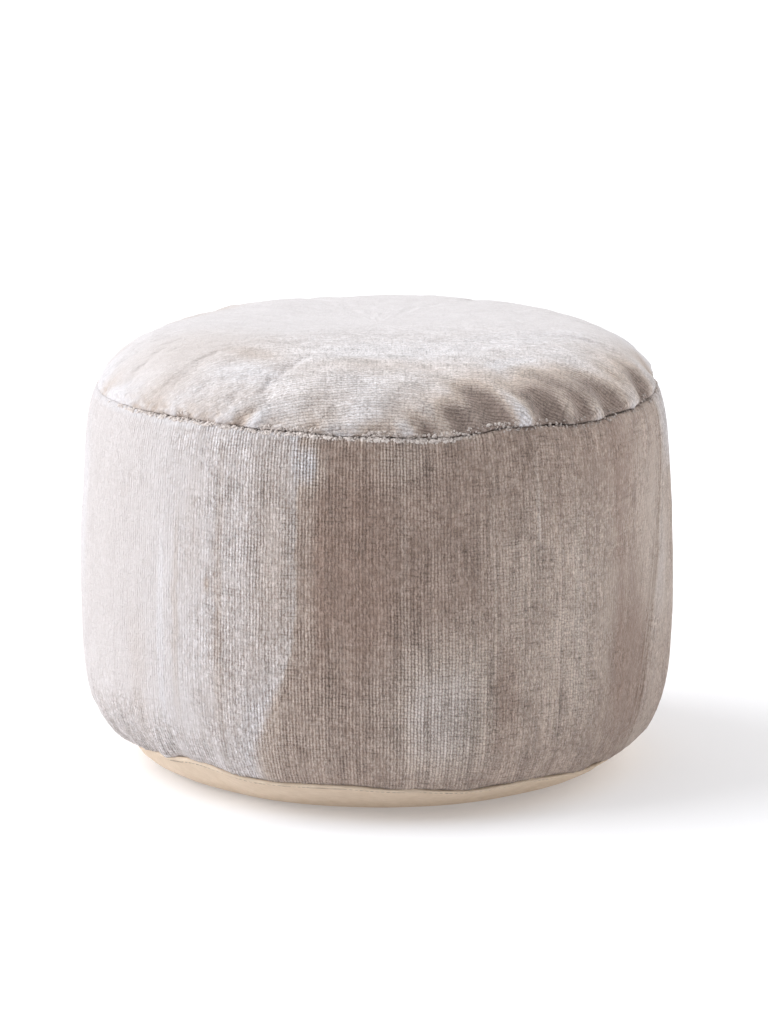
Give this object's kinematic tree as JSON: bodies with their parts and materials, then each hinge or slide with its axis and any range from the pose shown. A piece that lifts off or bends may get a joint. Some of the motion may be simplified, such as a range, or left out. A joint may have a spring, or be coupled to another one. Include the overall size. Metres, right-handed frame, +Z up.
{
  "type": "cylinder pouf",
  "caption": "Round drum-shaped floor pouf in ribbed pile cloth, with a softly crowned top, a drawn-in side band and a plain canvas base that rests flat.",
  "frame": {"origin": "middle of the flat face of the canvas base that rests on the floor", "axes": "+Z up along the drum's axis; the side that the picture shows faces -Y, and the band's closing seam is on its right, towards +X"},
  "size_m": [0.5112, 0.5076, 0.3771],
  "materials": {
    "pile_cloth": "short ribbed pile, warm greige, with a soft sheen as of viscose",
    "canvas": "plain woven cotton canvas, unbleached beige, matte"
  },
  "bodies": {
    "root": {"top_panel": "pile_cloth", "side_band": "pile_cloth", "base_panel": "canvas"}
  },
  "joints": []
}
